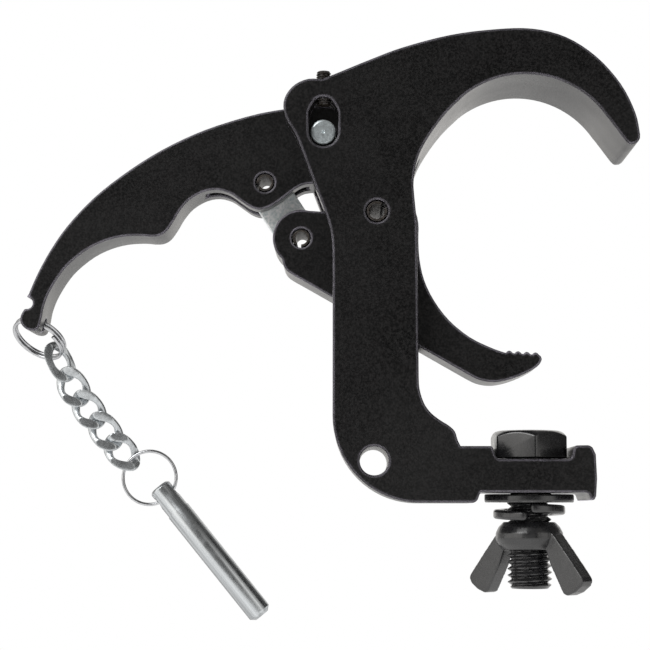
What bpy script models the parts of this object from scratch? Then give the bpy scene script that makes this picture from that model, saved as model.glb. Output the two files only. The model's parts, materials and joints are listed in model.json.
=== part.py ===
"""Toggle-action pipe clamp for stage and theatre rigging, modelled open, with its lever up.

A thick hook with a stem and a foot hangs on a tube.  A lever handle, a short link and the lower jaw form
a four-bar toggle that swings the jaw up under the tube.  A bolt with a wing nut fixes a lamp below the
foot, and a locking pin hangs from the handle on a chain.

The origin is the tube's axis, half way through the frame.  The tube runs along Y, +X points out of the
hook's mouth and +Z points up.  Numbers are millimetres until they reach a mesh.
"""

import math

import bmesh
import bpy
from mathutils import Matrix, Vector

MM = 0.001
SHARP_ANGLE = math.radians(32)
ROUND_SIDES = 40

# Driving dimensions.
TUBE_RADIUS = 26.0
FRAME_WIDTH = 30.0
CHANNEL_WIDTH = 16.0
GAP = 0.3
EAR_GAP_EASE = 0.1  # the gap between the ears is this much wider than the passage below it
PLATE_WIDTH = CHANNEL_WIDTH - 2 * GAP
LINK_THICKNESS = 5.0
LINK_SLOT_WIDTH = LINK_THICKNESS + 2 * GAP

# The four pivots of the toggle, as (x, z).
LEVER_PIVOT = (-54.0, 10.8)
LINK_TOP = (-69.8, -1.95)
LINK_BOTTOM = (-59.95, -17.1)
JAW_PIVOT = (-39.65, -10.95)

LEVER_PIN_RADIUS = 3.18
LEVER_PIN_LENGTH = 26.0
JAW_PIN_RADIUS = 2.7
LINK_PIN_RADIUS = 2.3
ROLL_PIN_WALL = 0.6
ROLL_PIN_SLIT = 36.0  # degrees left open along one side
LINK_HALF_WIDTH = 5.4
LINK_PLAY = (0.45, 1.1)  # slack at the link's lower hole, away from and towards its upper pin
LINK_HOLE_HALF_WIDTH = 2.95
JAW_SLOT_RADIUS = 6.9

OVAL_SLOT_X = -53.9
OVAL_SLOT_HALF_WIDTH = 3.95
OVAL_SLOT_BOTTOM = 10.5
GRUB_RADIUS = 2.0
GRUB_LENGTH = 9.3
GRUB_BOTTOM = 18.2
GRUB_Y = 11.5

STORAGE_HOLE = (-40.45, -77.15)
STORAGE_HOLE_RADIUS = 3.8

BOLT_X = 1.35
BOLT_RADIUS = 5.9
BOLT_HOLE_RADIUS = 6.3
BOLT_TOP = -68.7
BOLT_HEAD_HEIGHT = 7.5
BOLT_END = -110.8
HEX_ACROSS_FLATS = 18.9
FLAT_WASHER = (12.0, 2.2)  # outer radius, thickness
FLAT_WASHER_TOP = -85.7
SPRING_WASHER_MIDDLE = -90.45
WING_NUT_TOP = -93.1
WING_THICKNESS = 4.6
WING_TURN = math.radians(-42)

CHAIN_Y = 9.2
CHAIN_START = (-127.03, -49.5)
CHAIN_PITCH = 7.6
CHAIN_HEADINGS = (-62.0, -55.0, -52.0, -50.5)
LINK_HALF_LENGTH = 4.9
LINK_HALF_BREADTH = 3.0
CHAIN_WIRE_RADIUS = 0.78
CHAIN_TWIST = math.radians(45)
FIRST_LINK_ROLL = math.radians(40)
FIRST_LINK_LIFT = 0.3
LAST_LINK_ROLL = math.radians(13)
RING_RADIUS = 7.3
RING_WIRE_RADIUS = 0.48

PIN_TOP = Vector((-99.25, CHAIN_Y, -83.6))
PIN_DIRECTION = Vector((0.61, 0.0, -0.7924)).normalized()
PIN_LENGTH = 43.9
PIN_RADIUS = 3.05
PIN_HOLE_DEPTH = 3.45
PIN_HOLE_RADIUS = 1.2


def clear_scene():
    for thing in list(bpy.data.objects):
        bpy.data.objects.remove(thing, do_unlink=True)


def make_material(name, colour, roughness, metallic):
    look = bpy.data.materials.new(name)
    look.use_nodes = True
    shader = look.node_tree.nodes["Principled BSDF"]
    shader.inputs["Base Color"].default_value = (*colour, 1.0)
    shader.inputs["Roughness"].default_value = roughness
    shader.inputs["Metallic"].default_value = metallic
    look.diffuse_color = (*colour, 1.0)
    return look


# ---------------------------------------------------------------- outlines in the XZ plane


def arc(centre, radius, start, end, step=6.0):
    """Points on a circle from one angle to another, in degrees; the end may be below the start."""
    count = max(2, math.ceil(abs(end - start) / step))
    angles = [math.radians(start + (end - start) * i / count) for i in range(count + 1)]
    return [(centre[0] + radius * math.cos(a), centre[1] + radius * math.sin(a)) for a in angles]


def curve(points, steps=3):
    """A Catmull-Rom curve through the points."""
    row = [points[0], *points, points[-1]]
    path = []
    for a, b, c, d in zip(row, row[1:], row[2:], row[3:]):
        for i in range(steps):
            t = i / steps
            path.append(tuple(
                0.5 * (2 * q + (r - p) * t + (2 * p - 5 * q + 4 * r - s) * t * t
                       + (3 * q - p - 3 * r + s) * t ** 3)
                for p, q, r, s in zip(a, b, c, d)
            ))
    return path + [points[-1]]


def circle(centre, radius, sides=ROUND_SIDES):
    return arc(centre, radius, 0, 360, 360 / sides)[:-1]


def obround(first, second, radius):
    """A slot outline: two half circles round the given centres, joined by straight sides."""
    heading = math.degrees(math.atan2(second[1] - first[1], second[0] - first[0]))
    return (arc(first, radius, heading + 90, heading + 270, 9)
            + arc(second, radius, heading - 90, heading + 90, 9))


def frame_outline():
    seat = arc((0, 0), TUBE_RADIUS, 34, 128.6, 3.5)
    throat = curve([(-16.2, 20.3), (-21.1, 15.5), (-25.8, 9.1), (-28.7, 3.4), (-29.85, -2.5), (-29.7, -7),
                    (-29.0, -14)])
    instep = curve([(-28.7, -55), (-28.5, -58.3), (-27.4, -61.9), (-25.6, -64.5), (-23.1, -66.5),
                    (-21.0, -67.8), (-19.3, -69.4), (-18.6, -71.6), (-17.8, -73.25)])
    hex_recess = [(-9.5, -73.25), (-8.75, -75.6), (-8.4, -76.3), (-7.8, -76.6),
                  (10.5, -76.6), (11.1, -76.3), (11.45, -75.6), (11.6, -74.0), (12.3, -73.05)]
    toe = [(15.9, -73.0), (16.7, -73.6), (17.55, -75.4), (17.8, -81.7), (17.5, -86.3),
           (17.1, -87.1), (16.5, -87.5), (15.95, -87.1), (15.8, -86.3), (15.5, -85.7), (14.8, -85.4)]
    washer_step = [(-12.6, -85.4), (-12.95, -86.0), (-13.4, -87.2), (-13.8, -87.8), (-14.6, -88.1)]
    heel = arc((-28.6, -65.3), 22.8, 270, 180, 5)
    shoulder = curve([(-51.4, -24), (-51.6, -19), (-52.7, -13.2), (-56.3, -3.6), (-61.0, 9.0), (-63.6, 13.4),
                      (-64.65, 17.4), (-63.9, 20.6), (-61.5, 23.4), (-58.0, 24.9), (-54.2, 24.8)])
    back = curve([(-54.2, 24.8), (-51.4, 26.0), (-41.5, 30.1), (-32.5, 33.5), (-20, 36.8), (-8, 38.35),
                  (2, 38.5), (11, 36.2), (19, 30.9), (25.5, 23.4), (29.3, 15.5), (30.45, 9.6)], 4)
    nose = [(30.4, 8.6), (29.9, 7.6), (28.85, 7.0), (27.5, 6.9), (26.5, 7.9), (24.6, 10.5), (22.4, 13.5)]
    return (seat[:-1] + throat + instep + hex_recess + toe + washer_step + heel + shoulder[:-1] + back
            + nose)


def oval_slot_outline():
    bottom = arc((OVAL_SLOT_X, OVAL_SLOT_BOTTOM), OVAL_SLOT_HALF_WIDTH, 180, 360, 9)
    top = [(OVAL_SLOT_HALF_WIDTH, 15.9), (3.4, 17.3), (2.2, 19.2), (1.0, 19.9)]
    return (bottom + [(OVAL_SLOT_X + x, z) for x, z in top]
            + [(OVAL_SLOT_X - x, z) for x, z in reversed(top)])


def handle_outline():
    head = arc(LEVER_PIVOT, 8.3, -40, 97, 8)
    back = curve([(-55.9, 18.95), (-60.5, 18.75), (-71.2, 17.1), (-82.9, 13.7), (-91.8, 10.1),
                  (-100.6, 5.4), (-109.2, -0.45), (-116.4, -6.4), (-123, -13.6), (-127.5, -20.2),
                  (-131, -26.8), (-133.3, -32.3)])
    notch = arc((-133.75, -34.7), 1.6, 95, -110, 20)
    tip = curve([(-135.2, -37.7), (-135.5, -39.0), (-135.2, -40.3), (-134.3, -41.4), (-133.0, -42.1),
                 (-131.5, -42.2), (-130.5, -41.6), (-130.05, -40.5)], 2)
    grip = curve([(-130.05, -40.5), (-129.6, -38.5), (-129.1, -35.7), (-127.85, -32.2), (-125.3, -27.7),
                  (-122.3, -24.0), (-117.6, -20.25), (-113, -18), (-108.4, -16.8), (-103.75, -16.5),
                  (-100.7, -16.75)])
    finger = curve([(-100.7, -16.75), (-98.5, -16.6), (-96.5, -15.5), (-94.6, -12.9), (-92.8, -9.8),
                    (-90.25, -6.8), (-86.5, -4.6), (-82.8, -4.0), (-79.4, -4.9), (-76.4, -6.9),
                    (-73.9, -8.6), (-71.3, -9.4), (-68.6, -8.7), (-65.4, -6.7), (-62.1, -4.1),
                    (-59.4, -2.6), (-56.0, -2.1), (-52.5, -0.7), (-49.3, 2.2), (-47.64, 5.46)])
    return head + back + notch + tip[:-1] + grip[:-1] + finger[:-1]


def jaw_teeth():
    """Four low ribs across the gripping end, from its tip inwards."""
    row = []
    for tooth in range(4):
        x = 2.75 - 2.34 * tooth
        z = -48.0 + 0.16 * tooth
        row += [(x + 0.9, z - 0.6), (x + 0.55, z - 0.12), (x, z), (x - 0.55, z - 0.12), (x - 0.9, z - 0.6)]
    return row


def jaw_outline():
    boss = arc(LINK_BOTTOM, 7.7, 75, 228, 8)
    heel = curve([(-65.1, -22.8), (-64.6, -24.8), (-63.2, -26.5), (-59.25, -28.8)])
    toe = curve([(-15.2, -54.0), (-12.3, -55.4), (-8.9, -56.0), (-5.5, -55.6), (-1.7, -54.4),
                 (1.9, -52.65), (3.6, -51.4), (4.4, -50.0), (4.15, -49.0)])
    cradle = curve([(-6.5, -47.7), (-9.4, -46.6), (-14.8, -43.9), (-20.2, -39.45), (-24.3, -34),
                    (-26.9, -28.5), (-28.1, -23), (-28.4, -18), (-28.4, -13), (-29.6, -8.9),
                    (-32.3, -6.0), (-35.2, -4.7)])
    hub = arc(JAW_PIVOT, 7.8, 55, 125, 8)
    waist = curve([(-47.6, -7.4), (-51.0, -9.5), (-54.6, -9.9)])
    return boss[:-1] + heel + toe + jaw_teeth() + cradle + hub + waist


def jaw_slot_outline():
    """The gap for the link: a round floor under its lower pin, open upwards as far as the link swings."""
    floor = arc(LINK_BOTTOM, JAW_SLOT_RADIUS, 213, 325, 10)
    return floor + [(-44.5, -5.3), (-44.5, 2.0), (-76.8, 2.0), (-76.8, -3.9)]


def roll_pin_outline(centre, radius, slit_heading):
    """A split tube seen end on."""
    start = slit_heading + ROLL_PIN_SLIT / 2
    end = slit_heading + 360 - ROLL_PIN_SLIT / 2
    return arc(centre, radius, start, end, 15) + arc(centre, radius - ROLL_PIN_WALL, end, start, 15)


# ---------------------------------------------------------------- solids, drawn in world millimetres


def prism(outline, width, middle=0.0):
    """The outline, given in the XZ plane, made solid over a width along Y."""
    shape = bmesh.new()
    face = shape.faces.new([shape.verts.new((x, middle - width / 2, z)) for x, z in outline])
    made = bmesh.ops.extrude_face_region(shape, geom=[face])["geom"]
    moved = [item for item in made if isinstance(item, bmesh.types.BMVert)]
    bmesh.ops.translate(shape, verts=moved, vec=(0, width, 0))
    return shape


def turned(profile, sides=ROUND_SIDES):
    """The profile, given as (radius, height), spun round the Z axis.

    A profile that starts and ends on the axis makes a solid rod; any other is closed into a ring.
    """
    shape = bmesh.new()
    verts = [shape.verts.new((radius, 0, height)) for radius, height in profile]
    edges = [shape.edges.new(pair) for pair in zip(verts, verts[1:])]
    if profile[0][0] > 0:
        edges.append(shape.edges.new((verts[-1], verts[0])))
    bmesh.ops.spin(shape, geom=verts + edges, axis=(0, 0, 1), cent=(0, 0, 0), angle=2 * math.pi, steps=sides)
    bmesh.ops.remove_doubles(shape, verts=shape.verts, dist=0.001)
    return shape


def placed(shape, origin, direction=(0, 0, 1)):
    """Move a shape drawn along Z so that it stands at the origin and points along the direction."""
    turn = Vector((0, 0, 1)).rotation_difference(Vector(direction)).to_matrix().to_4x4()
    bmesh.ops.transform(shape, verts=shape.verts, matrix=Matrix.Translation(origin) @ turn)
    return shape


def rod(start, direction, length, radius, sides=ROUND_SIDES):
    profile = [(0, 0), (radius, 0), (radius, length), (0, length)]
    return placed(turned(profile, sides), start, direction)


def swept(sections):
    """Join a row of equal section loops into a solid bar with a flat cap at each end."""
    shape = bmesh.new()
    loops = [[shape.verts.new(point) for point in section] for section in sections]
    for near, far in zip(loops, loops[1:]):
        for i in range(len(near)):
            j = (i + 1) % len(near)
            shape.faces.new((near[i], near[j], far[j], far[i]))
    shape.faces.new(loops[0])
    shape.faces.new(loops[-1])
    return shape


# ---------------------------------------------------------------- objects


def add_piece(name, shape, origin, look):
    """Turn a shape into an object whose own origin is the given point."""
    bmesh.ops.recalc_face_normals(shape, faces=shape.faces)
    bmesh.ops.translate(shape, verts=shape.verts, vec=-Vector(origin))
    bmesh.ops.scale(shape, verts=shape.verts, vec=(MM, MM, MM))
    mesh = bpy.data.meshes.new(name)
    shape.to_mesh(mesh)
    shape.free()
    mesh.shade_smooth()
    mesh.set_sharp_from_angle(angle=SHARP_ANGLE)
    mesh.materials.append(look)
    piece = bpy.data.objects.new(name, mesh)
    piece.location = Vector(origin) * MM
    bpy.context.scene.collection.objects.link(piece)
    return piece


def add_wire(name, path, radius, closed, origin, look):
    """A round wire along the path, as a curve with a bevel."""
    data = bpy.data.curves.new(name, "CURVE")
    data.dimensions = "3D"
    data.bevel_depth = radius * MM
    data.bevel_resolution = 2
    data.use_fill_caps = True
    spline = data.splines.new("POLY")
    spline.points.add(len(path) - 1)
    for point, place in zip(spline.points, path):
        point.co = (*((Vector(place) - Vector(origin)) * MM), 1.0)
    spline.use_cyclic_u = closed
    spline.use_smooth = True
    data.materials.append(look)
    piece = bpy.data.objects.new(name, data)
    piece.location = Vector(origin) * MM
    bpy.context.scene.collection.objects.link(piece)
    return piece


def combine(piece, tool_shape, operation="DIFFERENCE"):
    """Cut the tool's shape out of the piece, or join it on."""
    label = f"{piece.name}_{operation.lower()}_{len(piece.modifiers)}"
    tool = add_piece(label, tool_shape, (0, 0, 0), piece.data.materials[0])
    tool.parent = piece
    tool.matrix_parent_inverse = Matrix.Translation(-piece.location)
    tool.hide_render = True
    tool.display_type = "WIRE"
    step = piece.modifiers.new(label, "BOOLEAN")
    step.operation = operation
    step.solver = "EXACT"
    step.object = tool


def at(point, y=0.0):
    return (point[0], y, point[1])


def drill_across(piece, centre, radius, width=40.0):
    combine(piece, prism(circle(centre, radius), width))


# ---------------------------------------------------------------- the frame and its pins


def make_frame(black):
    frame = add_piece("body_frame", prism(frame_outline(), FRAME_WIDTH), (0, 0, 0), black)
    ear_gap = [(-80, -3), (-44.3, -3), (-44.3, 45), (-80, 45)]
    combine(frame, prism(ear_gap, CHANNEL_WIDTH + EAR_GAP_EASE))
    # The jaw's passage goes right through the stem along X, with round ends.
    passage = prism(obround((0, -2.2), (0, -50.5), CHANNEL_WIDTH / 2), 70)
    bmesh.ops.rotate(passage, verts=passage.verts, matrix=Matrix.Rotation(math.pi / 2, 3, "Z"))
    bmesh.ops.translate(passage, verts=passage.verts, vec=(-50, 0, 0))
    combine(frame, passage)
    combine(frame, prism(oval_slot_outline(), 40))
    drill_across(frame, JAW_PIVOT, JAW_PIN_RADIUS + GAP)
    drill_across(frame, STORAGE_HOLE, STORAGE_HOLE_RADIUS)
    combine(frame, rod((BOLT_X, 0, -95), (0, 0, 1), 30, BOLT_HOLE_RADIUS))
    for side in (-1, 1):
        combine(frame, rod((OVAL_SLOT_X, side * GRUB_Y, 16), (0, 0, 1), 30, GRUB_RADIUS + GAP, 24))


def make_lever_pin(steel):
    half = LEVER_PIN_LENGTH / 2
    chamfer = 0.5
    half_profile = [(0, half - 0.8), (1.1, half), (LEVER_PIN_RADIUS - chamfer, half),
                    (LEVER_PIN_RADIUS, half - chamfer)]
    profile = half_profile + [(radius, -height) for radius, height in reversed(half_profile)]
    pin = placed(turned(profile), at(LEVER_PIVOT), (0, 1, 0))
    add_piece("lever_pivot_pin", pin, at(LEVER_PIVOT), steel)


def make_roll_pin(name, centre, radius, length, slit_heading, steel):
    add_piece(name, prism(roll_pin_outline(centre, radius, slit_heading), length), at(centre), steel)


def make_grub_screws(black_oxide):
    for name, side in (("adjuster_grub_screw_front", -1), ("adjuster_grub_screw_rear", 1)):
        foot = (OVAL_SLOT_X, side * GRUB_Y, GRUB_BOTTOM)
        profile = [(0, 0), (1.3, 0), (GRUB_RADIUS, 0.7), (GRUB_RADIUS, GRUB_LENGTH - 0.4),
                   (GRUB_RADIUS - 0.4, GRUB_LENGTH), (0, GRUB_LENGTH)]
        screw = add_piece(name, placed(turned(profile, 20), foot), foot, black_oxide)
        socket_floor = Vector(foot) + Vector((0, 0, GRUB_LENGTH - 2.2))
        combine(screw, rod(socket_floor, (0, 0, 1), 6, 1.15, 6))


# ---------------------------------------------------------------- the toggle


def make_handle(black):
    handle = add_piece("lever_handle", prism(handle_outline(), PLATE_WIDTH), at(LEVER_PIVOT), black)
    drill_across(handle, LEVER_PIVOT, LEVER_PIN_RADIUS + GAP)
    drill_across(handle, LINK_TOP, LINK_PIN_RADIUS + GAP)
    # A round cutter sinks the link's slot into the underside.
    combine(handle, prism(circle((-71.5, -13.2), 17.5), LINK_SLOT_WIDTH))
    ring_hole = Vector((-132.65, 0.1, -39.15))
    along = Vector((-0.927, 0.195, 0.318)).normalized()
    combine(handle, rod(ring_hole - 12 * along, along, 24, 1.75, 24))


def make_link(zinc):
    link = add_piece("toggle_link", prism(obround(LINK_TOP, LINK_BOTTOM, LINK_HALF_WIDTH), LINK_THICKNESS),
                     at(LINK_TOP), zinc)
    drill_across(link, LINK_TOP, LINK_PIN_RADIUS + GAP)
    along = (Vector(LINK_TOP) - Vector(LINK_BOTTOM)).normalized()
    ends = [Vector(LINK_BOTTOM) - LINK_PLAY[0] * along, Vector(LINK_BOTTOM) + LINK_PLAY[1] * along]
    combine(link, prism(obround(*ends, LINK_HOLE_HALF_WIDTH), 20))


def make_jaw(black):
    jaw = add_piece("clamp_jaw", prism(jaw_outline(), PLATE_WIDTH), at(JAW_PIVOT), black)
    drill_across(jaw, JAW_PIVOT, JAW_PIN_RADIUS + GAP)
    drill_across(jaw, LINK_BOTTOM, LINK_PIN_RADIUS + GAP)
    combine(jaw, prism(jaw_slot_outline(), LINK_SLOT_WIDTH))


# ---------------------------------------------------------------- the lamp bolt


def hexagon(across_flats, turn):
    corner = across_flats / math.sqrt(3)
    angles = [turn + math.radians(60 * i) for i in range(6)]
    return [(corner * math.cos(a), corner * math.sin(a)) for a in angles]


def make_bolt(black_paint):
    turn = math.radians(-90 + 4.5)
    head_bottom = BOLT_TOP - BOLT_HEAD_HEIGHT
    shape = bmesh.new()
    corners = [shape.verts.new((BOLT_X + x, y, head_bottom)) for x, y in hexagon(HEX_ACROSS_FLATS, turn)]
    face = shape.faces.new(corners)
    made = bmesh.ops.extrude_face_region(shape, geom=[face])["geom"]
    moved = [item for item in made if isinstance(item, bmesh.types.BMVert)]
    bmesh.ops.translate(shape, verts=moved, vec=(0, 0, BOLT_HEAD_HEIGHT))
    bolt = add_piece("hex_bolt", shape, (BOLT_X, 0, head_bottom), black_paint)
    # The head's corners are rounded off by a cone at the top, and a little at the bottom.
    rim = HEX_ACROSS_FLATS / 2
    crown = [(0, -1), (rim + 1.1, -1), (rim + 1.6, 0.6), (rim + 1.6, BOLT_HEAD_HEIGHT - 1.7),
             (rim - 0.5, BOLT_HEAD_HEIGHT - 0.25), (rim - 1.3, BOLT_HEAD_HEIGHT), (0, BOLT_HEAD_HEIGHT)]
    combine(bolt, placed(turned(crown), (BOLT_X, 0, head_bottom)), "INTERSECT")
    length = head_bottom + 2 - BOLT_END
    shank = [(0, 0), (BOLT_RADIUS - 1.0, 0), (BOLT_RADIUS, 1.0), (BOLT_RADIUS, length), (0, length)]
    combine(bolt, placed(turned(shank), (BOLT_X, 0, BOLT_END)), "UNION")


def make_flat_washer(black_paint):
    radius, thickness = FLAT_WASHER
    edge = 0.25
    profile = [(BOLT_HOLE_RADIUS, 0), (radius - edge, 0), (radius, edge), (radius, thickness - edge),
               (radius - edge, thickness), (BOLT_HOLE_RADIUS, thickness)]
    foot = (BOLT_X, 0, FLAT_WASHER_TOP - thickness)
    add_piece("flat_washer", placed(turned(profile), foot), foot, black_paint)


def make_spring_washer(black_paint):
    """One turn of square bar whose two ends stand apart, one above the other."""
    inner, outer, height, rise = 6.35, 9.65, 2.5, 2.1
    start = math.radians(-92)
    sweep = math.radians(352)
    steps = 36
    sections = []
    for i in range(steps + 1):
        share = i / steps
        heading = Vector((math.cos(start + sweep * share), math.sin(start + sweep * share), 0))
        middle = Vector((BOLT_X, 0, SPRING_WASHER_MIDDLE + rise * (0.5 - share)))
        lift = Vector((0, 0, height / 2))
        sections.append([middle + heading * inner - lift, middle + heading * outer - lift,
                         middle + heading * outer + lift, middle + heading * inner + lift])
    add_piece("spring_washer", swept(sections), (BOLT_X, 0, SPRING_WASHER_MIDDLE), black_paint)


def make_wing_nut(black_paint):
    centre = (BOLT_X, 0, WING_NUT_TOP)
    hub = [(0, 0), (6.9, 0), (8.2, -1.3), (9.0, -2.9), (9.1, -4.4), (8.5, -6.0), (7.3, -7.4), (0, -7.4)]
    nut = add_piece("wing_nut", placed(turned(hub), centre), centre, black_paint)
    wing_outline = [(4.0, -2.0), (7.4, -1.8), (9.4, -3.2), (12.9, -7.4), (16.3, -11.6), (18.5, -14.4),
                    (18.8, -15.4), (18.2, -16.6), (16.0, -18.3), (13.6, -19.2), (12.6, -18.8),
                    (11.8, -17.5), (8.4, -11.2), (6.6, -6.4), (4.0, -5.4)]
    for half_turn in (0, math.pi):
        wing = prism(wing_outline, WING_THICKNESS)
        spin = Matrix.Rotation(WING_TURN + half_turn, 3, "Z")
        bmesh.ops.rotate(wing, verts=wing.verts, matrix=spin)
        bmesh.ops.translate(wing, verts=wing.verts, vec=centre)
        combine(nut, wing, "UNION")
    combine(nut, rod((BOLT_X, 0, WING_NUT_TOP - 30), (0, 0, 1), 60, BOLT_RADIUS + GAP))


# ---------------------------------------------------------------- the locking pin and its chain


def ring_path(centre, radius, across, up, turns, rise):
    """A coil of the given number of turns round the centre, in the plane of two unit vectors."""
    normal = across.cross(up)
    count = round(36 * turns)
    path = []
    for i in range(count + (turns > 1)):
        angle = 2 * math.pi * turns * i / count
        lift = rise * (turns * i / count - turns / 2) if turns > 1 else 0
        path.append(centre + radius * (math.cos(angle) * across + math.sin(angle) * up) + lift * normal)
    return path


def make_handle_ring(steel):
    centre = Vector((-132.7, 6.0, -42.9))
    across = Vector((0.902, 0, -0.431)).normalized()
    up = Vector((0.2155, -0.866, 0.451)).normalized()
    path = ring_path(centre, RING_RADIUS, across, up, 2, 1.2)
    add_wire("handle_split_ring", path, RING_WIRE_RADIUS, False, (-132.65, 0.1, -39.15), steel)


def chain_layout():
    """The centre and the long axis of each chain link, from the handle to the pin."""
    centres = [Vector(at(CHAIN_START, CHAIN_Y))]
    for heading in CHAIN_HEADINGS:
        step = Vector((math.cos(math.radians(heading)), 0, math.sin(math.radians(heading))))
        centres.append(centres[-1] + CHAIN_PITCH * step)
    ends = [centres[0], *centres, centres[-1]]
    axes = [(after - before).normalized() for before, after in zip(ends, ends[2:])]
    return list(zip(centres, axes))


def chain_link_path(centre, axis, twist, roll):
    """An oval, twisted about its long axis so that neighbours lie flat in each other's ends."""
    side = axis.cross(Vector((0, 1, 0)))
    path = []
    for i in range(32):
        t = 2 * math.pi * i / 32
        lean = twist * math.cos(t) + roll
        breadth = LINK_HALF_BREADTH * math.sin(t)
        path.append(centre + LINK_HALF_LENGTH * math.cos(t) * axis
                    + breadth * (math.cos(lean) * side + math.sin(lean) * Vector((0, 1, 0))))
    return path


def make_chain(steel):
    """The first link is flat and rolled over, to take both coils of the split ring."""
    layout = chain_layout()
    for number, (centre, axis) in enumerate(layout, 1):
        hinge = centre - axis * CHAIN_PITCH / 2
        if number == 1:
            path = chain_link_path(centre - FIRST_LINK_LIFT * axis, axis, 0.0, FIRST_LINK_ROLL)
        else:
            roll = LAST_LINK_ROLL if number == len(layout) else 0.0
            path = chain_link_path(centre, axis, CHAIN_TWIST, roll)
        add_wire(f"chain_link_{number}", path, CHAIN_WIRE_RADIUS, True, hinge, steel)


def make_pin_ring(steel):
    hole = PIN_TOP + PIN_HOLE_DEPTH * PIN_DIRECTION
    outward = Vector((-0.685, 0, 0.728)).normalized()
    centre = hole + (RING_RADIUS - 0.28) * outward
    path = ring_path(centre, RING_RADIUS, Vector((1, 0, 0)), Vector((0, 0, 1)), 1, 0)
    add_wire("pin_split_ring", path, RING_WIRE_RADIUS, True, centre, steel)


def make_locking_pin(steel):
    neck = 8.0
    chamfer = 0.6
    slim = PIN_RADIUS - 0.2
    profile = [(0, 0), (slim - chamfer, 0), (slim, chamfer), (slim, neck), (PIN_RADIUS, neck + 0.4),
               (PIN_RADIUS, PIN_LENGTH - chamfer), (PIN_RADIUS - chamfer, PIN_LENGTH), (0, PIN_LENGTH)]
    hole = PIN_TOP + PIN_HOLE_DEPTH * PIN_DIRECTION
    pin = add_piece("locking_pin", placed(turned(profile), PIN_TOP, PIN_DIRECTION), hole, steel)
    across = PIN_DIRECTION.cross(Vector((0, 1, 0)))
    combine(pin, rod(hole - 10 * across, across, 20, PIN_HOLE_RADIUS, 20))


def main():
    clear_scene()
    black = make_material("black_anodised", (0.012, 0.012, 0.013), 0.42, 0.6)
    black_oxide = make_material("black_oxide", (0.015, 0.015, 0.016), 0.5, 0.7)
    black_paint = make_material("black_paint", (0.012, 0.012, 0.013), 0.3, 0.3)
    zinc = make_material("zinc_plate", (0.55, 0.6, 0.63), 0.38, 1.0)
    steel = make_material("bright_steel", (0.72, 0.74, 0.76), 0.22, 1.0)

    make_frame(black)
    make_lever_pin(zinc)
    make_roll_pin("jaw_pivot_roll_pin", JAW_PIVOT, JAW_PIN_RADIUS, 29.2, 40, black_oxide)
    make_grub_screws(black_oxide)
    make_handle(black)
    make_roll_pin("handle_link_roll_pin", LINK_TOP, LINK_PIN_RADIUS, 14.8, 200, black_oxide)
    make_link(zinc)
    make_jaw(black)
    make_roll_pin("jaw_link_roll_pin", LINK_BOTTOM, LINK_PIN_RADIUS, 14.8, 250, black_oxide)
    make_bolt(black_paint)
    make_flat_washer(black_paint)
    make_spring_washer(black_paint)
    make_wing_nut(black_paint)
    make_handle_ring(steel)
    make_chain(steel)
    make_pin_ring(steel)
    make_locking_pin(steel)


main()
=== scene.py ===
"""The looks of the toggle pipe clamp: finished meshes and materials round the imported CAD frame."""

import json
import math

import bmesh
import bpy
from mathutils import Matrix, Vector


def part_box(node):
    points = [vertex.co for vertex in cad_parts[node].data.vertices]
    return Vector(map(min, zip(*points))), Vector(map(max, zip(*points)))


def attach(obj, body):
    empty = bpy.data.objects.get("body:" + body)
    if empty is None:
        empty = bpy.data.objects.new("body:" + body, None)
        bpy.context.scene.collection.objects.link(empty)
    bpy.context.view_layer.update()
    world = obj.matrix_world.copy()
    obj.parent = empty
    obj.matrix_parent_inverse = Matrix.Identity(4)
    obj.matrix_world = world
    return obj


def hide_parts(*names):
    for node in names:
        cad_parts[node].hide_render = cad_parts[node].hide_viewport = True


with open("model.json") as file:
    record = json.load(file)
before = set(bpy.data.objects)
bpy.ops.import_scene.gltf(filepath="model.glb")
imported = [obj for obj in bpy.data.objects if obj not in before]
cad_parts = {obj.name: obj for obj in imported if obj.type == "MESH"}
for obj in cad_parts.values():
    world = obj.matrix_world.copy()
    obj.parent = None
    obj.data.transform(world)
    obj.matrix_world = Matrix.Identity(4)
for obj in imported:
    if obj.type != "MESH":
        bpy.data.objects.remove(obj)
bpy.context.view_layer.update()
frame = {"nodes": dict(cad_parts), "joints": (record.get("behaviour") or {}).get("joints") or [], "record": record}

MM = 0.001
BODY_OF = {node: body for body, nodes in frame["record"]["behaviour"]["bodies"].items() for node in nodes}

# ---------------------------------------------------------------- stage, camera and light

CAMERA_PLACE = (-0.04628, -0.498, -0.09051)
CAMERA_TURN = (95.802, -0.085, 0.836)  # degrees
CAMERA_LENS = 101.9
FLOOR_HEIGHT = -0.45
FLOOR_GLOW = 0.45
ROOM_ROUND = [  # brightness round the clamp: share of a turn from straight behind, by way of the left
    (0.00, 1.2), (0.10, 1.2), (0.15, 0.40), (0.20, 0.45), (0.24, 1.25), (0.39, 1.25), (0.45, 0.08),
    (0.55, 0.05), (0.60, 0.95), (0.65, 0.95), (0.70, 0.08), (0.87, 0.08), (0.92, 1.2), (1.00, 1.2),
]
ROOM_ENDS = (0.16, 1.1)  # brightness overhead and underneath, towards the front and the back


def add_object(name, data):
    made = bpy.data.objects.new(name, data)
    bpy.context.scene.collection.objects.link(made)
    return made


def put(tree, value, socket):
    """Feed an input from another node's output, or set it to a constant."""
    if isinstance(value, bpy.types.NodeSocket):
        tree.links.new(value, socket)
    else:
        socket.default_value = value


def make_camera():
    """The camera stands level with the foot, half a metre in front, and looks slightly up."""
    data = bpy.data.cameras.new("camera")
    data.lens = CAMERA_LENS
    data.clip_start = 0.01
    camera = add_object("camera", data)
    camera.location = CAMERA_PLACE
    camera.rotation_euler = [math.radians(angle) for angle in CAMERA_TURN]
    bpy.context.scene.camera = camera


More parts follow.
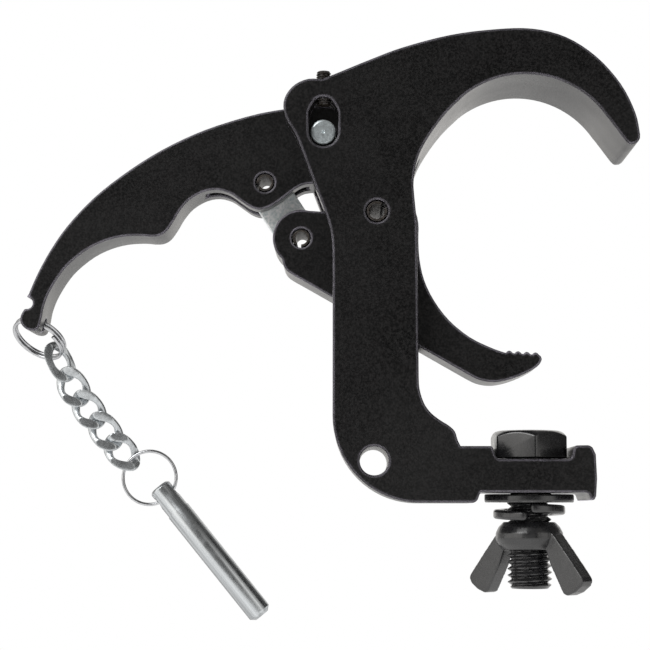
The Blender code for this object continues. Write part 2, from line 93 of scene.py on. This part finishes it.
def make_world():
    """White behind, a wide soft box on the left, a narrow one on the right, and dark between them."""
    world = bpy.data.worlds.new("studio")
    bpy.context.scene.world = world
    world.use_nodes = True
    tree = world.node_tree
    tree.nodes.clear()

    def step(operation, *inputs):
        node = tree.nodes.new("ShaderNodeMath")
        node.operation = operation
        for socket, value in zip(node.inputs, inputs):
            put(tree, value, socket)
        return node.outputs[0]

    def eased(value, low, high, start, end):
        node = tree.nodes.new("ShaderNodeMapRange")
        node.interpolation_type = "SMOOTHSTEP"
        settings = {"Value": value, "From Min": low, "From Max": high, "To Min": start, "To Max": end}
        for name, setting in settings.items():
            put(tree, setting, node.inputs[name])
        return node.outputs["Result"]

    def background(colour, strength):
        node = tree.nodes.new("ShaderNodeBackground")
        put(tree, (*colour, 1), node.inputs["Color"])
        put(tree, strength, node.inputs["Strength"])
        return node.outputs[0]

    place = tree.nodes.new("ShaderNodeTexCoord")
    split = tree.nodes.new("ShaderNodeSeparateXYZ")
    tree.links.new(place.outputs["Generated"], split.inputs[0])
    round_angle = step("ARCTAN2", split.outputs["X"], step("MULTIPLY", split.outputs["Y"], -1.0))
    ramp = tree.nodes.new("ShaderNodeValToRGB")
    ramp.color_ramp.interpolation = "EASE"
    stops = ramp.color_ramp.elements
    while len(stops) < len(ROOM_ROUND):
        stops.new(0.5)
    for stop, (position, level) in zip(stops, ROOM_ROUND):
        stop.position = position
        stop.color = (level, level, level, 1)
    tree.links.new(step("MULTIPLY_ADD", round_angle, 0.5 / math.pi, 0.5), ramp.inputs[0])

    brightness = tree.nodes.new("ShaderNodeMix")
    upright = eased(step("ABSOLUTE", split.outputs["Z"]), 0.5, 0.8, 0.0, 1.0)
    tree.links.new(upright, brightness.inputs["Factor"])
    tree.links.new(ramp.outputs[0], brightness.inputs["A"])
    tree.links.new(eased(split.outputs["Y"], 0.5, 0.9, *ROOM_ENDS), brightness.inputs["B"])

    rays = tree.nodes.new("ShaderNodeLightPath")
    choice = tree.nodes.new("ShaderNodeMixShader")
    output = tree.nodes.new("ShaderNodeOutputWorld")
    tree.links.new(rays.outputs["Is Camera Ray"], choice.inputs[0])
    tree.links.new(background((1.0, 0.98, 0.95), brightness.outputs["Result"]), choice.inputs[1])
    tree.links.new(background((1, 1, 1), 1.0), choice.inputs[2])
    tree.links.new(choice.outputs[0], output.inputs["Surface"])


def make_light(name, place, target, size, power):
    data = bpy.data.lights.new(name, "AREA")
    data.shape = "RECTANGLE"
    data.size, data.size_y = size
    data.energy = power
    light = add_object(name, data)
    light.location = place
    light.rotation_euler = (Vector(target) - Vector(place)).to_track_quat("-Z", "Y").to_euler()


def make_floor():
    shape = bmesh.new()
    bmesh.ops.create_grid(shape, x_segments=1, y_segments=1, size=4)
    mesh = mesh_of(shape, "floor")
    floor = add_object("floor", mesh)
    floor.location.z = FLOOR_HEIGHT
    paper = bpy.data.materials.new("floor_paper")
    paper.use_nodes = True
    shader = paper.node_tree.nodes["Principled BSDF"]
    shader.inputs["Base Color"].default_value = (0.9, 0.9, 0.9, 1)
    shader.inputs["Roughness"].default_value = 0.9
    shader.inputs["Emission Color"].default_value = (1, 1, 1, 1)
    shader.inputs["Emission Strength"].default_value = FLOOR_GLOW
    mesh.materials.append(paper)


# ---------------------------------------------------------------- materials


class Look:
    """A material under construction, with short names for the nodes it is made of."""

    def __init__(self, name, colour, roughness, metallic, specular=0.5):
        self.material = bpy.data.materials.new(name)
        self.material.use_nodes = True
        self.tree = self.material.node_tree
        self.shader = self.tree.nodes["Principled BSDF"]
        self.shader.inputs["Base Color"].default_value = (*colour, 1)
        self.shader.inputs["Roughness"].default_value = roughness
        self.shader.inputs["Metallic"].default_value = metallic
        self.shader.inputs["Specular IOR Level"].default_value = specular
        self.place = self.add("ShaderNodeTexCoord").outputs["Object"]

    def add(self, kind, inputs=None, **settings):
        node = self.tree.nodes.new(kind)
        for key, value in settings.items():
            setattr(node, key, value)
        for key, value in (inputs or {}).items():
            put(self.tree, value, node.inputs[key])
        return node

    def noise(self, scale, detail=3.0, stretch=(1, 1, 1), turn=(0, 0, 0), roughness=0.55):
        rotated = self.add("ShaderNodeMapping", {"Vector": self.place, "Rotation": turn}).outputs[0]
        stretched = self.add("ShaderNodeMapping", {"Vector": rotated, "Scale": stretch}).outputs[0]
        made = self.add("ShaderNodeTexNoise", {"Vector": stretched, "Scale": scale, "Detail": detail,
                                               "Roughness": roughness})
        return made.outputs["Fac"]

    def ramp(self, value, low, high, start=0.0, end=1.0):
        made = self.add("ShaderNodeMapRange", {"Value": value, "From Min": low, "From Max": high,
                                               "To Min": start, "To Max": end})
        return made.outputs["Result"]

    def math(self, operation, first, second):
        return self.add("ShaderNodeMath", {0: first, 1: second}, operation=operation).outputs[0]

    def mix(self, share, first, second):
        made = self.add("ShaderNodeMix", {"Factor": share}, data_type="RGBA")
        for name, colour in (("A", first), ("B", second)):
            whole = colour if isinstance(colour, bpy.types.NodeSocket) else (*colour, 1)
            socket = next(s for s in made.inputs if s.name == name and s.type == "RGBA")
            put(self.tree, whole, socket)
        return next(s for s in made.outputs if s.type == "RGBA")

    def edges(self, radius):
        """1 along sharp edges and 0 on flats, from how far a rounded normal leans from the real one."""
        rounded = self.add("ShaderNodeBevel", {"Radius": radius}, samples=6).outputs["Normal"]
        plain = self.add("ShaderNodeNewGeometry").outputs["Normal"]
        lean = self.add("ShaderNodeVectorMath", {0: rounded, 1: plain}, operation="DOT_PRODUCT")
        return self.ramp(lean.outputs["Value"], 0.985, 0.86)

    def bump(self, height, strength, distance, normal=None):
        inputs = {"Height": height, "Strength": strength, "Distance": distance}
        if normal is not None:
            inputs["Normal"] = normal
        return self.add("ShaderNodeBump", inputs).outputs["Normal"]

    def finish(self, colour, roughness, normal):
        for value, name in ((colour, "Base Color"), (roughness, "Roughness"), (normal, "Normal")):
            put(self.tree, value, self.shader.inputs[name])
        return self.material


def anodised(name, grain_turn):
    """Black anodised aluminium: mottled and softly grained, scuffed in places, paler along its edges from wear and
    from a painted edge highlight.
    """
    look = Look(name, (0.006, 0.006, 0.0065), 0.4, 0.0, specular=0.42)
    clouds = look.noise(45)
    mottle = look.noise(1900, roughness=0.75)
    grain = look.noise(1100, 2, (1, 1, 0.06), grain_turn)
    scuffs = look.ramp(look.noise(150, 4, (1, 1, 0.04), (0.2, 0.5, 0.9), 0.7), 0.64, 0.72)
    # Where the edges turn pale: partly wear, partly a painted highlight along the bevels.
    pale_edges = look.math("MULTIPLY", look.edges(0.0010), look.ramp(look.noise(300), 0.30, 0.55, 0.55, 1.0))
    fine = look.math("ADD", look.math("MULTIPLY", mottle, 0.94), look.math("MULTIPLY", grain, 0.06))
    base = look.mix(look.ramp(fine, 0.41, 0.61), (0.0004, 0.0004, 0.0006), (0.0175, 0.0170, 0.0172))
    base = look.mix(look.ramp(clouds, 0.35, 0.75, 0.0, 0.3), base, (0.010, 0.0098, 0.010))
    base = look.mix(look.math("MULTIPLY", scuffs, 0.12), base, (0.045, 0.044, 0.046))
    # Pale lilac on the edges: bare metal where worn, and a painted edge highlight.
    base = look.mix(look.math("MULTIPLY", pale_edges, 0.9), base, (0.66, 0.62, 0.74))
    rough = look.ramp(clouds, 0.3, 0.7, 0.27, 0.36)
    normal = look.bump(grain, 0.02, 0.0001)
    normal = look.bump(mottle, 0.12, 0.0001, normal)
    return look.finish(base, rough, normal)


def gloss_black(name, smooth, lumps):
    """Black-plated steel: glossy and slightly lumpy, thin on its edges."""
    look = Look(name, (0.010, 0.010, 0.011), smooth, 0.0, specular=1.0)
    clouds = look.noise(260, 4)
    fine = look.noise(1500)
    pale_edges = look.math("MULTIPLY", look.edges(0.0005), look.ramp(look.noise(700), 0.42, 0.62))
    base = look.mix(look.ramp(clouds, 0.35, 0.7), (0.008, 0.008, 0.009), (0.018, 0.018, 0.020))
    base = look.mix(look.math("MULTIPLY", pale_edges, 0.6), base, (0.16, 0.155, 0.15))
    rough = look.ramp(fine, 0.3, 0.7, smooth, smooth + 0.16)
    normal = look.bump(clouds, lumps, 0.0002)
    normal = look.bump(fine, lumps * 0.5, 0.0001, normal)
    return look.finish(base, rough, normal)


def black_oxide(name):
    """Oxide-blacked steel: brownish and dull, rubbed bright on its edges."""
    look = Look(name, (0.02, 0.019, 0.018), 0.45, 0.6)
    fine = look.noise(1800)
    pale_edges = look.math("MULTIPLY", look.edges(0.0004), look.ramp(look.noise(900), 0.35, 0.6))
    base = look.mix(look.ramp(fine, 0.35, 0.65), (0.022, 0.018, 0.015), (0.06, 0.048, 0.038))
    base = look.mix(look.math("MULTIPLY", pale_edges, 0.7), base, (0.3, 0.3, 0.31))
    return look.finish(base, look.ramp(fine, 0.3, 0.7, 0.35, 0.55), look.bump(fine, 0.2, 0.0001))


LATHE_RING = 0.42 * MM  # from one turning mark to the next


def zinc(name, colour, speckle, roughness, metallic, turned_about=None):
    """Zinc plate: a cool grey with fine bright and dark specks, and lathe rings on a turned end."""
    look = Look(name, colour, roughness, metallic)
    specks = look.noise(1500, 4, roughness=0.7)
    clouds = look.noise(180)
    dark = tuple(c * (1 - speckle) for c in colour)
    light = tuple(min(1.0, c * (1 + speckle)) for c in colour)
    base = look.mix(look.ramp(specks, 0.36, 0.64), dark, light)
    rough = look.ramp(clouds, 0.3, 0.7, roughness - 0.06, roughness + 0.1)
    normal = look.bump(specks, 0.12, 0.0001)
    if turned_about is not None:
        centred = look.add("ShaderNodeVectorMath", {0: look.place, 1: turned_about}, operation="SUBTRACT")
        flat = look.add("ShaderNodeVectorMath", {0: centred.outputs[0], 1: (1, 0, 1)}, operation="MULTIPLY")
        reach = look.add("ShaderNodeVectorMath", {0: flat.outputs[0]}, operation="LENGTH").outputs["Value"]
        rings = look.math("SINE", look.math("MULTIPLY", reach, 2 * math.pi / LATHE_RING), 0.0)
        normal = look.bump(rings, 0.10, 0.00005, normal)
        base = look.mix(look.ramp(rings, 0.2, 1.0, 0.0, 0.3), base, dark)
    return look.finish(base, rough, normal)


def bright_metal(name, colour, roughness, streak_axis=None, streaks=0.0, metallic=1.0, rim=0.0):
    """Polished metal with painted shade that darkens it where it turns away from the camera, with drawing lines
    along an axis if one is given.
    """
    look = Look(name, colour, roughness, metallic)
    if streak_axis is None:
        lines = look.noise(900)
    else:
        turn = Vector(streak_axis).rotation_difference(Vector((0, 0, 1))).to_euler()
        lines = look.noise(900, 3, (1, 1, 0.012), turn)
    patches = look.noise(320)
    dim = tuple(c * (0.78 - streaks) for c in colour)
    base = look.mix(look.ramp(lines, 0.36, 0.62), dim, colour)
    # Painted shade: the colour darkens towards the outline, by the share given as rim.
    facing = look.add("ShaderNodeLayerWeight", {"Blend": 0.5}).outputs["Facing"]
    base = look.mix(look.ramp(facing, 0.45, 0.95, 0.0, rim), base, (0.03, 0.03, 0.035))
    rough = look.ramp(patches, 0.3, 0.7, roughness, roughness + 0.12)
    return look.finish(base, rough, look.bump(lines, 0.05 + streaks, 0.0001))


# ---------------------------------------------------------------- finished meshes


def mesh_of(shape, name):
    """The bmesh as a mesh of this name, after which the bmesh is gone."""
    mesh = bpy.data.meshes.new(name)
    shape.to_mesh(mesh)
    shape.free()
    return mesh


def centre_of(node):
    low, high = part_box(node)
    return (low + high) / 2


def show(name, mesh, node, look, sharp=35):
    """Put a finished mesh in the scene in place of its CAD node."""
    mesh.shade_smooth()
    mesh.set_sharp_from_angle(angle=math.radians(sharp))
    mesh.materials.clear()
    mesh.materials.append(look)
    piece = add_object(name, mesh)
    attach(piece, BODY_OF[node])
    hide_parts(node)
    return piece


def clean_shape(node):
    """The CAD node's own shape, with its flat faces joined up again."""
    shape = bmesh.new()
    shape.from_mesh(frame["nodes"][node].data)
    bmesh.ops.remove_doubles(shape, verts=shape.verts, dist=1e-6)
    bmesh.ops.dissolve_limit(shape, angle_limit=math.radians(0.6), verts=shape.verts, edges=shape.edges,
                             use_dissolve_boundaries=False)
    return shape


# The gap between the frame's ears: half its width, where it ends and how far down it goes, with a margin.
EAR_GAP_HALF = 8.3 * MM
EAR_GAP_END = -44.0 * MM
EAR_GAP_FLOOR = -4.0 * MM


def in_ear_gap(edge):
    """Whether an edge lies in the gap between the frame's ears, where rounding tears the top face."""
    return all(abs(v.co.y) < EAR_GAP_HALF and v.co.x < EAR_GAP_END and v.co.z > EAR_GAP_FLOOR
               for v in edge.verts)


def round_edges(shape, width, segments=2, least_angle=30, stays_sharp=lambda edge: False):
    """Round the outward edges only, because rounding an inner corner would narrow a clearance."""
    sharp = [edge for edge in shape.edges if len(edge.link_faces) == 2 and edge.is_convex
             and edge.calc_face_angle(0) > math.radians(least_angle) and not stays_sharp(edge)]
    bmesh.ops.bevel(shape, geom=sharp, offset=width, segments=segments, profile=0.5, affect="EDGES",
                    clamp_overlap=False)


def finished(node, look, width, segments=2, least_angle=30, stays_sharp=lambda edge: False):
    shape = clean_shape(node)
    round_edges(shape, width, segments, least_angle, stays_sharp)
    piece = show(f"{node}_finished", mesh_of(shape, f"{node}_finished"), node, look)
    weighted = piece.modifiers.new("even_shading", "WEIGHTED_NORMAL")
    weighted.keep_sharp = True


def skinned(name, sections, closed):
    """A mesh through a row of equal loops of points."""
    shape = bmesh.new()
    loops = [[shape.verts.new(point) for point in section] for section in sections]
    pairs = list(zip(loops, loops[1:])) + ([(loops[-1], loops[0])] if closed else [])
    for near, far in pairs:
        for i in range(len(near)):
            j = (i + 1) % len(near)
            shape.faces.new((near[i], near[j], far[j], far[i]))
    if not closed:
        shape.faces.new(loops[0])
        shape.faces.new(loops[-1])
    bmesh.ops.recalc_face_normals(shape, faces=shape.faces)
    return mesh_of(shape, name)


def turned(name, profile, centre, axis, sides=96):
    """A turned mesh from (radius, distance along the axis) pairs, both ends on the axis."""
    across = axis.orthogonal().normalized()
    beside = axis.cross(across)
    shape = bmesh.new()
    first = shape.verts.new(centre + profile[0][1] * axis)
    last = shape.verts.new(centre + profile[-1][1] * axis)
    rings = []
    for radius, along in profile[1:-1]:
        rings.append([shape.verts.new(centre + along * axis
                                      + radius * math.cos(2 * math.pi * i / sides) * across
                                      + radius * math.sin(2 * math.pi * i / sides) * beside)
                      for i in range(sides)])
    for i in range(sides):
        j = (i + 1) % sides
        shape.faces.new((first, rings[0][j], rings[0][i]))
        shape.faces.new((last, rings[-1][i], rings[-1][j]))
        for near, far in zip(rings, rings[1:]):
            shape.faces.new((near[i], near[j], far[j], far[i]))
    bmesh.ops.recalc_face_normals(shape, faces=shape.faces)
    return mesh_of(shape, name)


def superellipse(half_width, half_height, power, sides):
    points = []
    for i in range(sides):
        angle = 2 * math.pi * i / sides
        c, s = math.cos(angle), math.sin(angle)
        points.append((half_width * math.copysign(abs(c) ** (2 / power), c),
                       half_height * math.copysign(abs(s) ** (2 / power), s)))
    return points


def bolt_thread(axis_x, bottom, top, major, depth, pitch, chamfer, columns=56, rows_per_turn=10):
    """The outside of a screw thread round a vertical axis, chamfered at both ends, as rings of points."""
    rows = round((top - bottom) / pitch * rows_per_turn)
    rings = []
    for row in range(rows + 1):
        height = bottom + (top - bottom) * row / rows
        ring = []
        for column in range(columns):
            angle = 2 * math.pi * column / columns
            phase = ((height - bottom) / pitch - column / columns) % 1.0
            # 0 on the crest and 1 in the root, with a short flat on each.
            flank = min(1.0, max(0.0, abs(2 * phase - 1) * 1.25 - 0.1))
            radius = min(major - depth * flank, major - chamfer + min(height - bottom, top - height))
            ring.append(Vector((axis_x + radius * math.cos(angle), radius * math.sin(angle), height)))
        rings.append(ring)
    return rings


# ---------------------------------------------------------------- the pieces

BOLT_HEAD_HEIGHT = 7.5 * MM
BOLT_STUB = 1.0 * MM  # plain shank kept under the head


def make_bolt(look):
    """The hexagon head and the stub of the shank come from the CAD; the thread is cut in full."""
    node = "hex_bolt"
    low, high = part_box(node)
    stub_end = high.z - BOLT_HEAD_HEIGHT - BOLT_STUB
    shape = clean_shape(node)
    cut = bmesh.ops.bisect_plane(shape, geom=shape.verts[:] + shape.edges[:] + shape.faces[:],
                                 plane_co=(0, 0, stub_end), plane_no=(0, 0, -1), clear_outer=True)
    rim = [item for item in cut["geom_cut"] if isinstance(item, bmesh.types.BMEdge)]
    bmesh.ops.edgenet_fill(shape, edges=rim)
    round_edges(shape, 0.35 * MM, 2, 25)
    show("hex_bolt_head", mesh_of(shape, "hex_bolt_head"), node, look)
    rings = bolt_thread(centre_of(node).x, bottom=low.z, top=stub_end + 0.5 * MM, major=5.95 * MM,
                        depth=1.05 * MM, pitch=1.75 * MM, chamfer=1.1 * MM)
    show("hex_bolt_thread", skinned("hex_bolt_thread", rings, False), node, look, 50)


def make_wing_nut(look):
    """A casting: the CAD shape with every corner and hollow softened."""
    piece = add_object("casting", mesh_of(clean_shape("wing_nut"), "casting"))
    remesh = piece.modifiers.new("even", "REMESH")
    remesh.mode = "VOXEL"
    remesh.voxel_size = 0.24 * MM
    soften = piece.modifiers.new("soften", "SMOOTH")
    soften.factor = 0.5
    soften.iterations = 7
    evaluated = piece.evaluated_get(bpy.context.evaluated_depsgraph_get())
    cast = bpy.data.meshes.new_from_object(evaluated)
    cast.name = "wing_nut_finished"
    bpy.data.objects.remove(piece)
    show("wing_nut_finished", cast, "wing_nut", look, 80)


COLLAR = 0.2 * MM  # how much wider in radius the lever pin's ends are than its middle


def make_lever_pin():
    """A headless pin with broad bright chamfers and a lathe centre in each end."""
    node = "lever_pivot_pin"
    low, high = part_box(node)
    centre = centre_of(node)
    half = (high.y - low.y) / 2
    radius = (high.x - low.x) / 2
    wide = radius + COLLAR
    lathe_centre = [(0.0, half - 0.45 * MM), (0.12 * MM, half - 0.4 * MM), (0.42 * MM, half - 0.03 * MM)]
    face = [(0.5 * MM, half), (wide - 0.68 * MM, half)]
    chamfer = [(wide - 0.12 * MM, half - 0.24 * MM), (wide, half - 0.5 * MM)]
    collar_foot = [(wide, half - 1.6 * MM), (radius, half - 1.9 * MM)]
    end = lathe_centre + face + chamfer + collar_foot
    profile = end + [(reach, -along) for reach, along in reversed(end)]
    look = zinc("zinc_pin", (0.62, 0.68, 0.70), 0.24, 0.34, 0.8, tuple(centre))
    name = node + "_finished"
    show(name, turned(name, profile, centre, Vector((0, 1, 0))), node, look, 15)


SOCKET_CORNER = 1.15 * MM  # the grub screws' hexagon socket, from its axis to a corner
SOCKET_MOUTH = 0.12 * MM  # how much wider its countersunk mouth is
SOCKET_DEPTHS = (0.0, 0.15 * MM, 2.2 * MM)  # the mouth, the foot of its countersink and the floor


def make_grub_screw(node, look):
    low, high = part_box(node)
    axis = centre_of(node)
    rings = bolt_thread(0, bottom=low.z, top=high.z, major=2.0 * MM, depth=0.38 * MM, pitch=0.7 * MM,
                        chamfer=0.4 * MM, columns=32, rows_per_turn=8)
    columns = len(rings[0])
    for depth in SOCKET_DEPTHS:
        ring = []
        for column in range(columns):
            angle = 2 * math.pi * column / columns
            flat = SOCKET_CORNER * math.cos(math.pi / 6) / math.cos((angle % (math.pi / 3)) - math.pi / 6)
            reach = flat + (SOCKET_MOUTH if depth == 0.0 else 0.0)
            ring.append(Vector((reach * math.cos(angle), reach * math.sin(angle), high.z - depth)))
        rings.append(ring)
    mesh = skinned(node + "_finished", rings, False)
    mesh.transform(Matrix.Translation((axis.x, axis.y, 0)))
    show(node + "_finished", mesh, node, look, 50)


RING_RADIUS = 7.3 * MM


def coil(node, look, wire, turns, rise, across, up):
    """A split ring: a coil of round wire with cut ends, where rise is its climb in one turn."""
    centre = centre_of(node)
    normal = across.cross(up).normalized()
    steps = round(90 * turns)
    section = superellipse(wire, wire, 2, 16)
    sections = []
    for i in range(steps + 1):
        angle = 2 * math.pi * turns * i / steps
        out = math.cos(angle) * across + math.sin(angle) * up
        middle = centre + RING_RADIUS * out + rise * turns * (i / steps - 0.5) * normal
        sections.append([middle + a * out + b * normal for a, b in section])
    show(node + "_finished", skinned(node + "_finished", sections, False), node, look, 50)


def make_rings(look):
    across = Vector((0.902, 0, -0.431)).normalized()
    up = Vector((0.2155, -0.866, 0.451)).normalized()
    coil("handle_split_ring", look, 0.5 * MM, 2.15, 1.04 * MM, across, up)
    coil("pin_split_ring", look, 0.46 * MM, 1.0, 0.0, Vector((1, 0, 0)), Vector((0, 0, 1)))


LINK_HALF_LENGTH = 4.9 * MM
LINK_HALF_BREADTH = 3.4 * MM
UPPER_LINK_HALF_BREADTH = 3.2 * MM
LINK_TWIST = math.radians(45)  # how far each end is turned about the link's length; not the upper link's
LINK_ROLL = {1: math.radians(40), 5: math.radians(13)}
LINK_FLAT = 1.15 * MM  # from the middle plane to a ground face
DOMING = 0.12  # how much of a link's depth is left on its ground faces
RIGHT_LEAN = {1: 0.05, 2: 0.24, 3: 0.18, 4: 0.1, 5: -0.05}  # slope of each link's ground faces, outwards
LEFT_LEAN = -0.07
LINK_STEPS = 96


def make_chain_link(number, look):
    """A curb link: a twisted oval of flattened wire, with its front and back ground flat."""
    node = f"chain_link_{number}"
    points = [v.co for v in frame["nodes"][node].data.vertices]
    centre = sum(points, Vector()) / len(points)
    axis = max(points, key=lambda co: (co - centre).length) - centre
    axis.y = 0
    if axis.z > 0:
        axis.negate()
    axis.normalize()
    depth = Vector((0, 1, 0))
    side = axis.cross(depth)
    half_breadth = UPPER_LINK_HALF_BREADTH if number == 1 else LINK_HALF_BREADTH
    twist = 0.0 if number == 1 else LINK_TWIST
    roll = LINK_ROLL.get(number, 0.0)

    def centre_line(t):
        turn = twist * math.cos(t) + roll
        breadth = half_breadth * math.sin(t)
        return (centre + LINK_HALF_LENGTH * math.cos(t) * axis
                + breadth * (math.cos(turn) * side + math.sin(turn) * depth))

    section = superellipse(1.0 * MM, 0.85 * MM, 2.6, 20)
    sections = []
    for i in range(LINK_STEPS):
        t = 2 * math.pi * i / LINK_STEPS
        middle = centre_line(t)
        along = (centre_line(t + 0.01) - centre_line(t - 0.01)).normalized()
        turn = twist * math.cos(t) + roll
        face = -math.sin(turn) * side + math.cos(turn) * depth
        out = along.cross(face).normalized()
        face = out.cross(along).normalized()
        # The wire is broadest at the link's four corners and narrowest along its sides.
        swell = 1.18 - 0.28 * math.sin(t) ** 4 + 0.2 * math.sin(2 * t) ** 2
        loop = []
        for a, b in section:
            point = middle + swell * a * out + b * face
            outward = (point - centre).dot(side)
            limit = LINK_FLAT + outward * (RIGHT_LEAN[number] if outward > 0 else LEFT_LEAN)
            proud = abs(point.y - centre.y) - limit
            if proud > 0:
                point.y = centre.y + math.copysign(limit + DOMING * proud, point.y - centre.y)
            loop.append(point)
        sections.append(loop)
    show(node + "_finished", skinned(node + "_finished", sections, True), node, look, 28)


PIN_STOUTER = 1.09
PIN_END_STOUTER = 0.82  # for the flat of the free end, inside its chamfer
PIN_LONGER = 1.2 * MM
PIN_CHAMFER_ZONE = 1.5 * MM  # the CAD pin's chamfer lies within this of its free end
PIN_CHAMFER_LONGER = 0.55 * MM
PIN_HOLE_ZONE = 1.4 * MM  # the hole's rim lies within this of the hinge, along the pin
PIN_HOLE_WIDER = 0.35
PIN_LEAN = math.radians(-1.6)  # about its hinge
RIM_ZONE = 0.8 * MM  # points this near either end of the pin count as its rims
HAIR = 0.01 * MM  # points this near the free end lie on its flat


def middle_of(points):
    return sum(points, Vector()) / len(points)


def make_locking_pin(look):
    """The CAD pin, a little stouter and longer than its solid, with a broad chamfer at its free end."""
    node = "locking_pin"
    low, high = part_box(node)
    shape = clean_shape(node)
    slope = Vector((high.x - low.x, 0, low.z - high.z)).normalized()
    reaches = [vertex.co.dot(slope) for vertex in shape.verts]
    head = middle_of([v.co for v in shape.verts if v.co.dot(slope) < min(reaches) + RIM_ZONE])
    tail = middle_of([v.co for v in shape.verts if v.co.dot(slope) > max(reaches) - RIM_ZONE])
    axis = (tail - head).normalized()
    start = min(vertex.co.dot(axis) for vertex in shape.verts)
    end = max(vertex.co.dot(axis) for vertex in shape.verts)
    middle = (head + tail) / 2
    hinge = next(Vector(joint["pos_m"]) for joint in frame["joints"] if joint["name"] == "locking_pin_swing")
    for vertex in shape.verts:
        along = vertex.co.dot(axis)
        share = (along - start) / (end - start)
        foot = middle + (along - middle.dot(axis)) * axis
        on_end = along > end - HAIR
        stouter = PIN_END_STOUTER if on_end else PIN_STOUTER
        chamfer = PIN_CHAMFER_LONGER if along > end - PIN_CHAMFER_ZONE and not on_end else 0.0
        from_hole = along - hinge.dot(axis)
        wider_hole = PIN_HOLE_WIDER * from_hole if abs(from_hole) < PIN_HOLE_ZONE else 0.0
        shift = share * PIN_LONGER - chamfer + wider_hole
        vertex.co = foot + stouter * (vertex.co - foot) + shift * axis
    lean = Matrix.Rotation(PIN_LEAN, 4, "Y")
    shape.transform(Matrix.Translation(hinge) @ lean @ Matrix.Translation(-hinge))
    round_edges(shape, 0.12 * MM, 2, 40)
    show(node + "_finished", mesh_of(shape, node + "_finished"), node, look)


def main():
    bpy.context.scene.view_settings.view_transform = "Standard"
    make_camera()
    make_world()
    make_light("key", place=(-0.5, -0.55, 0.55), target=(-0.04, 0, -0.03), size=(0.5, 0.5), power=3.0)
    make_floor()

    finished("body_frame", anodised("anodised_frame", (0, math.pi / 2, 0)), 0.5 * MM, 3,
             stays_sharp=in_ear_gap)
    finished("lever_handle", anodised("anodised_handle", (0, 1.1, 0)), 0.42 * MM, 3)
    finished("clamp_jaw", anodised("anodised_jaw", (0, 0.9, 0)), 0.4 * MM, 3)

    finished("toggle_link", zinc("zinc_link", (0.88, 0.98, 1.0), 0.3, 0.55, 0.75), 0.2 * MM)
    make_lever_pin()

    oxide = black_oxide("black_oxide")
    for node in ("jaw_pivot_roll_pin", "handle_link_roll_pin", "jaw_link_roll_pin"):
        finished(node, oxide, 0.12 * MM, 2, 50)
    for node in ("adjuster_grub_screw_front", "adjuster_grub_screw_rear"):
        make_grub_screw(node, oxide)

    make_bolt(gloss_black("plated_bolt", 0.14, 0.22))
    washer_black = gloss_black("plated_washer", 0.16, 0.2)
    finished("flat_washer", washer_black, 0.35 * MM, 3)
    finished("spring_washer", washer_black, 0.75 * MM, 4)
    make_wing_nut(gloss_black("plated_wing_nut", 0.22, 0.25))

    make_rings(bright_metal("nickel_wire", (0.66, 0.67, 0.69), 0.14, rim=0.9))
    chain = bright_metal("chain_metal", (0.66, 0.69, 0.71), 0.2, metallic=0.86, rim=0.8)
    for number in range(1, 6):
        make_chain_link(number, chain)
    low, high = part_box("locking_pin")
    axis = (Vector((high.x, 0, low.z)) - Vector((low.x, 0, high.z))).normalized()
    make_locking_pin(bright_metal("drawn_steel", (0.72, 0.75, 0.77), 0.24, axis, 0.2, rim=0.7))


main()
